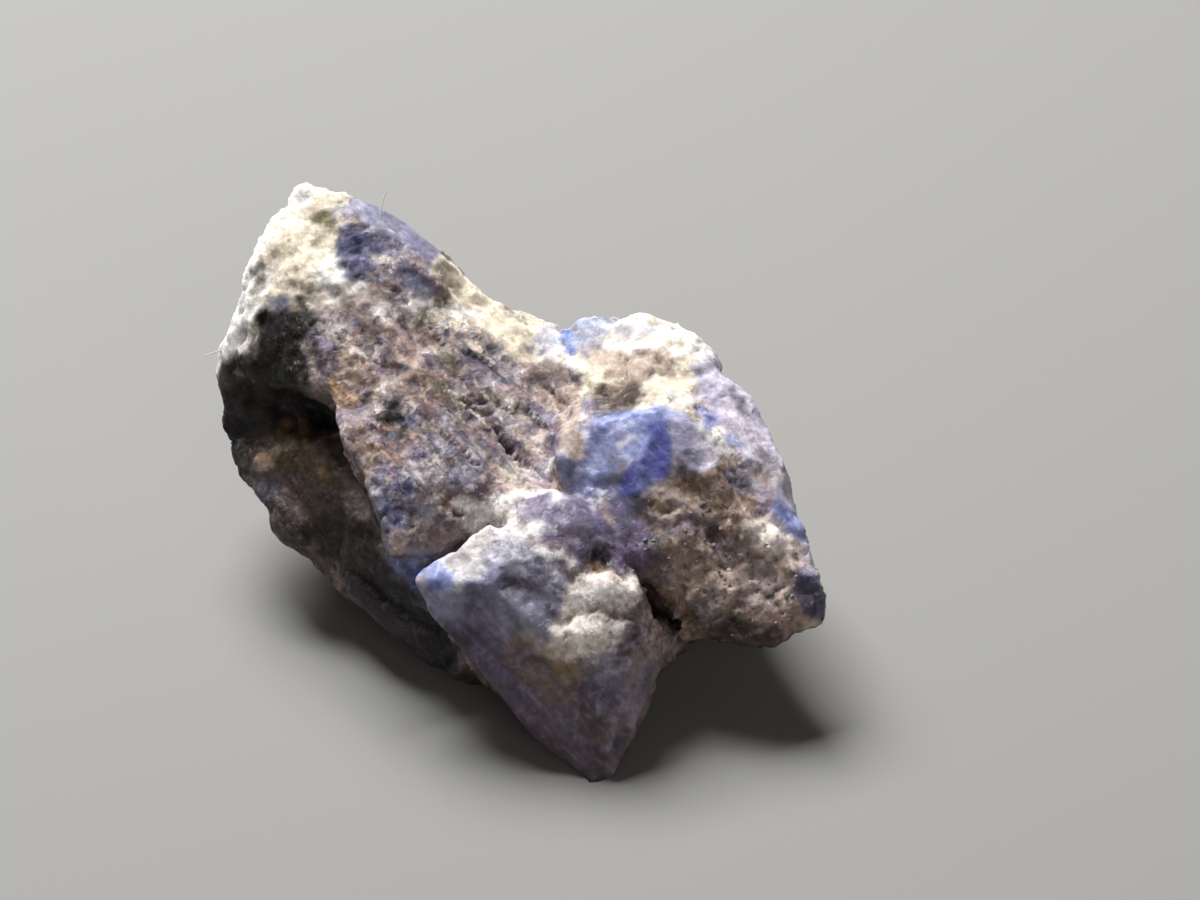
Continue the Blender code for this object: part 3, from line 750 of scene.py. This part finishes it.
relief -= pit_depth * region(
    ([(262, 262), (256, 300), (243, 330)], 4, 0.6),
    ([(250, 275), (240, 310)], 4, 0.6),
    ([(240, 335), (228, 370)], 4, 0.7),
    ([(262, 318), (248, 350)], 4, 0.6),
    ([(410, 280), (426, 292)], 12, 0.4),
    ([(606, 392), (626, 386)], 5, 0.5),
    ([(592, 418), (604, 414)], 4, 0.6),
    ([(600, 560)], 10, 1.0),
    ([(392, 417)], 8, 0.8),
    ([(480, 404), (488, 412)], 7, 0.8),
    ([(492, 350)], 7, 0.7),
    ([(508, 445)], 6, 0.9),
    ([(462, 517)], 5, 0.8),
    ([(712, 535)], 10, 0.8),
)
# how far each point stands out from the fine relief around it, and how far it lies in from
# the broad shape around it
recess = relief - smoothed(relief[:, None], 8)[:, 0]
hollow = ((smoothed(points, 40) - points) * broad_normals).sum(axis=1)
points = smoothed(flattened(points, pieces, flatness), 1, 0.35)
for route, reach in FACES:
    points = face_drawn_flat(points, 0.9 * mark(route, reach, ragged=0.1, edge=0.45))
points += broad_normals * relief[:, None]
points[:, 2] = np.maximum(points[:, 2], 0.0)      # nothing goes under the table
mesh.vertices.foreach_set("co", (points * MM).ravel())
mesh.update()

# painted shade: hollows and grooves are browner and darker; painted highlight: the raised fine edges
# are paler; and a little tone that differs at random
lay_on(rose_brown, 0.40 * eased(hollow, 0.05, 0.22) * (1.0 - shaded_side) * (1.0 - 0.6 * crust))
lay_on(white, 0.25 * eased(recess, 0.03, 0.09) * (1.0 - shaded_side))
tone = 1.0 - 0.15 * eased(hollow, 0.03, 0.25) + 0.05 * raggedness
tone -= (0.30 - 0.15 * crust) * eased(-recess, 0.01, 0.10)
tint = np.clip(tint * tone[:, None], 0.0, 1.0)
layer = mesh.color_attributes.new("tint", "FLOAT_COLOR", "POINT")
layer.data.foreach_set("color", np.column_stack([tint, np.ones(count)]).ravel())
for name, values in (("crust", crust), ("sound", sound), ("mosaic", mosaic), ("layered", ledges)):
    layer = mesh.attributes.new(name, "FLOAT", "POINT")
    layer.data.foreach_set("value", values)

stone = bpy.data.materials.new("carletonite")
stone.use_nodes = True
tree = stone.node_tree
shader = tree.nodes["Principled BSDF"]


def node(kind, **settings):
    made = tree.nodes.new(kind)
    for key, value in settings.items():
        setattr(made, key, value)
    return made


def join(output, target):
    tree.links.new(output, target)


def carried(name, output="Fac"):
    """A value that the mesh carries on its points."""
    return node("ShaderNodeAttribute", attribute_name=name).outputs[output]


def fine_noise(source, scale, detail):
    made = node("ShaderNodeTexNoise")
    made.inputs["Scale"].default_value = scale
    made.inputs["Detail"].default_value = detail
    join(source, made.inputs["Vector"])
    return made.outputs["Fac"]


def fine_cells(source, scale, **settings):
    made = node("ShaderNodeTexVoronoi", **settings)
    made.inputs["Scale"].default_value = scale
    join(source, made.inputs["Vector"])
    return made


def ranged(value, low, high, to_low, to_high):
    made = node("ShaderNodeMapRange")
    limits = {"From Min": low, "From Max": high, "To Min": to_low, "To Max": to_high}
    for key, number in limits.items():
        made.inputs[key].default_value = number
    join(value, made.inputs["Value"])
    return made.outputs["Result"]


def worked(operation, first, second):
    """One number made from two, each of them a socket or a plain number."""
    made = node("ShaderNodeMath", operation=operation)
    for value, target in ((first, made.inputs[0]), (second, made.inputs[1])):
        if isinstance(value, float):
            target.default_value = value
        else:
            join(value, target)
    return made.outputs["Value"]


def blended(blend_type, factor, under, over):
    made = node("ShaderNodeMix", data_type="RGBA", blend_type=blend_type)
    if isinstance(factor, float):
        made.inputs["Factor"].default_value = factor
    else:
        join(factor, made.inputs["Factor"])
    join(under, made.inputs["A"])
    if isinstance(over, tuple):
        made.inputs["B"].default_value = (*over, 1.0)
    else:
        join(over, made.inputs["B"])
    return made.outputs["Result"]


place = node("ShaderNodeTexCoord").outputs["Object"]
tints = carried("tint", "Color")
crusts = carried("crust")
sounds = carried("sound")
mosaics = carried("mosaic")
layers = carried("layered")

# the place in the crystal's own directions, drawn out along its grain
along_grain = node("ShaderNodeCombineXYZ")
for letter, direction, squeeze in (("X", zone, 0.14), ("Y", stack, 1.0), ("Z", face, 0.55)):
    measured = node("ShaderNodeVectorMath", operation="DOT_PRODUCT")
    measured.inputs[1].default_value = direction * squeeze
    join(place, measured.inputs[0])
    join(measured.outputs["Value"], along_grain.inputs[letter])
along_grain = along_grain.outputs["Vector"]

# the place, bent a little, so that no cell of the fine texture is even
bend_rate = 2600.0       # per metre
bend_reach = 0.00035     # metres
bend = node("ShaderNodeTexNoise")
bend.inputs["Scale"].default_value = bend_rate
bend.inputs["Detail"].default_value = 3.0
join(place, bend.inputs["Vector"])
centred = node("ShaderNodeVectorMath", operation="SUBTRACT")
centred.inputs[1].default_value = (0.5, 0.5, 0.5)
join(bend.outputs["Color"], centred.inputs[0])
scaled = node("ShaderNodeVectorMath", operation="SCALE")
scaled.inputs["Scale"].default_value = bend_reach
join(centred.outputs["Vector"], scaled.inputs[0])
warped = node("ShaderNodeVectorMath", operation="ADD")
join(place, warped.inputs[0])
join(scaled.outputs["Vector"], warped.inputs[1])
warped = warped.outputs["Vector"]

# fine texture, each with its rate per metre: 5000 gives features about 0.2 mm across
speckle = fine_noise(place, 5200.0, 4.0)
patches = fine_noise(warped, 2300.0, 5.0)
flecks = fine_noise(place, 3700.0, 3.0)
threads = fine_noise(along_grain, 6000.0, 3.0)
flakes = fine_cells(warped, 3300.0)
sugar = fine_cells(warped, 8500.0)
grains = fine_cells(warped, 1700.0)
laths = fine_cells(along_grain, 2500.0)
seams = fine_cells(warped, 3300.0, feature="DISTANCE_TO_EDGE").outputs["Distance"]
cracks = fine_cells(along_grain, 1900.0, feature="DISTANCE_TO_EDGE").outputs["Distance"]


def channels(colour):
    made = node("ShaderNodeSeparateColor")
    join(colour, made.inputs["Color"])
    return made.outputs


def tilted_facets(source, cells):
    """Height over each cell, in metres, of a small plane that leans a way of its own."""
    offset = node("ShaderNodeVectorMath", operation="SUBTRACT")
    join(source, offset.inputs[0])
    join(cells.outputs["Position"], offset.inputs[1])
    way = node("ShaderNodeVectorMath", operation="SUBTRACT")
    join(cells.outputs["Color"], way.inputs[0])
    way.inputs[1].default_value = (0.5, 0.5, 0.5)
    height = node("ShaderNodeVectorMath", operation="DOT_PRODUCT")
    join(offset.outputs["Vector"], height.inputs[0])
    join(way.outputs["Vector"], height.inputs[1])
    return height.outputs["Value"]


def product(*values):
    total = values[0]
    for value in values[1:]:
        total = worked("MULTIPLY", total, value)
    return total


def within(value, low, high, ramp=0.01):
    """1 between two limits, with short ramps."""
    rising = ranged(value, low - ramp, low, 0.0, 1.0)
    falling = ranged(value, high, high + ramp, 1.0, 0.0)
    return product(rising, falling)


# Each flake, and each long lath where the crystal is layered, has a tone of its own, and some
# are another colour of the stone: slate, pale or rosy brown. Over that lie dark seams, pale
# flecks, painted glints on a few tiny cells and dark specks, calmer on the crust and on sound
# crystal, where there are pale cracks.
colour = tints
flake_pick = channels(flakes.outputs["Color"])["Red"]
grain_pick = channels(grains.outputs["Color"])["Green"]
lath_pick = channels(laths.outputs["Color"])["Red"]
ragged_edge = ranged(speckle, 0.42, 0.52, 0.25, 1.0)
for pick, where, low, high, share, over in [
    # each cell's own number, where it counts, from and to which number, share, colour
    (grain_pick, mosaics, 0.00, 0.14, 0.60, (0.085, 0.085, 0.150)),
    (grain_pick, mosaics, 0.14, 0.26, 0.35, (0.66, 0.60, 0.56)),
    (grain_pick, mosaics, 0.26, 0.36, 0.45, (0.15, 0.095, 0.080)),
    (grain_pick, mosaics, 0.36, 0.46, 0.45, (0.26, 0.24, 0.34)),
    (lath_pick, layers, 0.00, 0.22, 0.60, (0.075, 0.075, 0.135)),
    (lath_pick, layers, 0.22, 0.40, 0.50, (0.55, 0.47, 0.42)),
    (flake_pick, mosaics, 0.00, 0.12, 0.45, (0.10, 0.095, 0.150)),
    (flake_pick, mosaics, 0.12, 0.20, 0.35, (0.70, 0.66, 0.64)),
    (flake_pick, mosaics, 0.20, 0.30, 0.40, (0.11, 0.070, 0.055)),
    (flake_pick, mosaics, 0.30, 0.44, 0.40, (0.46, 0.31, 0.26)),
]:
    colour = blended("MIX", product(within(pick, low, high), where, ragged_edge, share), colour, over)
flake_tone = product(
    ranged(channels(flakes.outputs["Color"])["Green"], 0.0, 1.0, 0.88, 1.12),
    ranged(channels(sugar.outputs["Color"])["Red"], 0.0, 1.0, 0.90, 1.10),
    # a few tiny cells much paler: painted glints
    ranged(channels(sugar.outputs["Color"])["Green"], 0.91, 0.94, 1.0, 1.35),
    ranged(seams, 0.0, 0.05, 0.80, 1.0),
    ranged(patches, 0.47, 0.53, 0.91, 1.08),
    ranged(flecks, 0.62, 0.65, 1.0, 1.3),
    ranged(flecks, 0.33, 0.37, 0.70, 1.0),
)
calm = product(ranged(sounds, 0.0, 1.0, 1.0, 0.35), ranged(crusts, 0.0, 1.0, 1.0, 0.6))
flake_tone = worked("ADD", worked("MULTIPLY", worked("SUBTRACT", flake_tone, 1.0), calm), 1.0)
clouds = ranged(fine_noise(warped, 1100.0, 4.0), 0.35, 0.65, 0.72, 1.32)
clouds = worked("ADD", worked("MULTIPLY", worked("SUBTRACT", clouds, 1.0), sounds), 1.0)
mottle = product(
    ranged(speckle, 0.36, 0.64, 0.88, 1.12), ranged(threads, 0.35, 0.65, 0.88, 1.12), clouds
)
colour = blended("MULTIPLY", 1.0, colour, product(flake_tone, mottle))
short = product(ranged(cracks, 0.0, 0.05, 1.0, 0.0), ranged(speckle, 0.45, 0.6, 0.0, 0.6))
crack_pale = (0.30, 0.28, 0.34)
colour = blended("MIX", product(short, ranged(sounds, 0.0, 1.0, 0.1, 0.7)), colour, crack_pale)
join(colour, shader.inputs["Base Color"])

glossy_flakes = ranged(channels(flakes.outputs["Color"])["Blue"], 0.0, 1.0, 0.75, 1.15)
duller_crust = ranged(crusts, 0.0, 1.0, 0.6, 0.8)
glossier_sound = ranged(sounds, 0.0, 1.0, 1.0, 0.7)
join(product(duller_crust, glossier_sound, glossy_flakes), shader.inputs["Roughness"])
shader.inputs["Specular IOR Level"].default_value = 0.28
shader.inputs["Subsurface Weight"].default_value = 0.5
shader.inputs["Subsurface Radius"].default_value = (0.9, 0.9, 1.2)
shader.inputs["Subsurface Scale"].default_value = 0.0004

bump = node("ShaderNodeBump")
bump.inputs["Strength"].default_value = 0.6
bump.inputs["Distance"].default_value = 1.0
both_facets = worked("ADD", tilted_facets(warped, flakes), tilted_facets(warped, sugar))
facets = product(both_facets, calm, 0.6)
grain_depth, patch_depth = 0.00003, 0.000008      # metres
patch_steps = ranged(patches, 0.46, 0.54, 0.0, 1.0)
pitted = worked("ADD", product(speckle, grain_depth), product(patch_steps, patch_depth))
join(worked("ADD", facets, pitted), bump.inputs["Height"])
join(bump.outputs["Normal"], shader.inputs["Normal"])

mesh.materials.clear()
mesh.materials.append(stone)
mesh.name = "crystal_cluster"
mesh.polygons.foreach_set("use_smooth", [True] * len(mesh.polygons))
crystal = bpy.data.objects.new("crystal_cluster", mesh)
scene.collection.objects.link(crystal)
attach(crystal, "root")
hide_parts("carletonite_crystal")


# Grains on the crust
# Tiny tilted crystals of the same stone, a tenth of a millimetre or so across, that stand on
# the stained block at the lower right. They grew there and are part of the stone.
grain_field = mark([(700, 545), (760, 590), (690, 590)], 50)
grain_count = 140
grain_sizes = (0.05, 0.12)       # mm, the least and the most
grain_lift = 0.05                # share of a grain's size that its middle stands above the stone
grain_colours = [brown, rose_brown, sand, ochre, dark, beige]
grain_rng = np.random.default_rng(7)
corner_ways = np.array([(x, y, z) for x in (-1, 1) for y in (-1, 1) for z in (-1, 1)]) / 1.9
box_faces = np.array([
    (0, 1, 3, 2), (4, 6, 7, 5), (0, 4, 5, 1), (2, 3, 7, 6), (0, 2, 6, 4), (1, 5, 7, 3)
])
grain_points, grain_faces, grain_tints = [], [], []
fine_normals = vectors_of(mesh, "normal")
spots = grain_rng.choice(count, grain_count, p=grain_field / grain_field.sum())
for spot in spots:
    size = grain_rng.uniform(*grain_sizes)
    turn = np.linalg.qr(grain_rng.normal(size=(3, 3)))[0]
    if np.linalg.det(turn) < 0:
        turn[:, 0] = -turn[:, 0]
    stretch = size * grain_rng.uniform(0.6, 1.2, 3)
    shape = (corner_ways * grain_rng.uniform(0.75, 1.0, (8, 1)) * stretch) @ turn.T
    grain_faces.append(box_faces + 8 * len(grain_points))
    grain_points.append(points[spot] + grain_lift * size * fine_normals[spot] + shape)
    colour = np.array(grain_colours[grain_rng.integers(len(grain_colours))])
    colour = 0.25 * colour + 0.75 * tint[spot]
    shade = grain_rng.uniform(0.55, 0.9)
    grain_tints.append(np.tile(np.append(colour * shade, 1.0), (8, 1)))
grain_mesh = bpy.data.meshes.new("crust_grains")
grain_points = np.concatenate(grain_points) * MM
grain_mesh.from_pydata(grain_points.tolist(), [], np.concatenate(grain_faces).tolist())
layer = grain_mesh.color_attributes.new("tint", "FLOAT_COLOR", "POINT")
layer.data.foreach_set("color", np.clip(np.concatenate(grain_tints), 0.0, 1.0).ravel())

grain_stone = bpy.data.materials.new("grain_crystal")
grain_stone.use_nodes = True
tree = grain_stone.node_tree
shader = tree.nodes["Principled BSDF"]
place = node("ShaderNodeTexCoord").outputs["Object"]
tints = carried("tint", "Color")
grain_tone = ranged(fine_noise(place, 9000.0, 2.0), 0.3, 0.7, 0.8, 1.2)
join(blended("MULTIPLY", 1.0, tints, grain_tone), shader.inputs["Base Color"])
shader.inputs["Roughness"].default_value = 0.65
shader.inputs["Subsurface Weight"].default_value = 0.2
shader.inputs["Subsurface Radius"].default_value = (0.9, 0.9, 1.2)
shader.inputs["Subsurface Scale"].default_value = 0.0002
grain_mesh.materials.append(grain_stone)
grains_piece = bpy.data.objects.new("crust_grains", grain_mesh)
scene.collection.objects.link(grains_piece)
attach(grains_piece, "root")


# Lint
# Two hair-thin pale textile fibres, one at the top edge and one at the left tip. They are
# caught on the rough stone by one end, and the other end stands free.
FIBRES = [
    # pixels of the photograph from the caught end to the free end
    ("lint_top", [(381, 212), (382, 204), (384, 197), (387, 191)]),
    ("lint_left", [(222, 350), (216, 352), (210, 354), (205, 356)]),
]
fibre_radius = 0.018     # mm
fibre_sides = 6
lint = bpy.data.materials.new("lint_fibre")
lint.use_nodes = True
tree = lint.node_tree
shader = tree.nodes["Principled BSDF"]
place = node("ShaderNodeTexCoord").outputs["Object"]
fibre_tone = ranged(fine_noise(place, 3000.0, 2.0), 0.3, 0.7, 0.0, 1.0)
pale = node("ShaderNodeMix", data_type="RGBA")
join(fibre_tone, pale.inputs["Factor"])
pale.inputs["A"].default_value = (0.62, 0.62, 0.50, 1.0)
pale.inputs["B"].default_value = (0.78, 0.77, 0.70, 1.0)
join(pale.outputs["Result"], shader.inputs["Base Color"])
shader.inputs["Roughness"].default_value = 0.5
for name, route in FIBRES:
    caught = Vector(seen_at(*route[0]))
    depth = (caught - camera.location / MM).dot(looking)
    stops = []
    for u, v in route:
        line = sight_line(u, v)
        stops.append(camera.location / MM + line * (depth / line.dot(looking)))
    rings, faces = [], []
    for i, stop in enumerate(stops):
        ahead = (stops[min(i + 1, len(stops) - 1)] - stops[max(i - 1, 0)]).normalized()
        across = ahead.cross(looking).normalized()
        over = ahead.cross(across)
        for k in range(fibre_sides):
            angle = 2.0 * math.pi * k / fibre_sides
            outward = across * math.cos(angle) + over * math.sin(angle)
            rings.append((stop + outward * fibre_radius) * MM)
    for i in range(len(stops) - 1):
        for k in range(fibre_sides):
            a, b = i * fibre_sides + k, i * fibre_sides + (k + 1) % fibre_sides
            faces.append((a, b, b + fibre_sides, a + fibre_sides))
    faces.append(tuple(range(fibre_sides))[::-1])
    faces.append(tuple(range(len(rings) - fibre_sides, len(rings))))
    fibre_mesh = bpy.data.meshes.new(name)
    fibre_mesh.from_pydata([tuple(p) for p in rings], [], faces)
    fibre_mesh.materials.append(lint)
    fibre = bpy.data.objects.new(name, fibre_mesh)
    scene.collection.objects.link(fibre)
    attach(fibre, "root")


# Table and light
# A plain pale floor, with one large soft light high behind the stone, a little to the left,
# as the photograph's shadow shows, and a weak fill from the front.
bpy.ops.mesh.primitive_plane_add(size=1.2)
floor = bpy.context.object
floor.name = "floor"
floor_material = bpy.data.materials.new("pale_floor")
floor_material.use_nodes = True
floor_shader = floor_material.node_tree.nodes["Principled BSDF"]
floor_shader.inputs["Base Color"].default_value = (0.24, 0.24, 0.235, 1.0)
floor_shader.inputs["Roughness"].default_value = 0.9
floor.data.materials.append(floor_material)


def softbox(name, place, size, power, colour):
    """A square lamp that faces the stone: its place and size in mm, and its power in watts."""
    data = bpy.data.lights.new(name, "AREA")
    data.shape = "SQUARE"
    data.size = size * MM
    data.energy = power
    data.color = colour
    lamp = bpy.data.objects.new(name, data)
    lamp.location = Vector(place) * MM
    aim = camera_aim - lamp.location
    lamp.rotation_mode = "QUATERNION"
    lamp.rotation_quaternion = aim.to_track_quat("-Z", "Y")
    scene.collection.objects.link(lamp)


softbox("key", (-55.0, 115.0, 200.0), 120.0, 1.25, (1.0, 0.99, 0.97))
softbox("fill", (60.0, -220.0, 120.0), 160.0, 0.10, (1.0, 0.93, 0.88))
world = bpy.data.worlds.new("studio")
scene.world = world
world.use_nodes = True
world.node_tree.nodes["Background"].inputs["Color"].default_value = (0.86, 0.85, 0.87, 1.0)
world.node_tree.nodes["Background"].inputs["Strength"].default_value = 0.06
scene.view_settings.view_transform = "Standard"
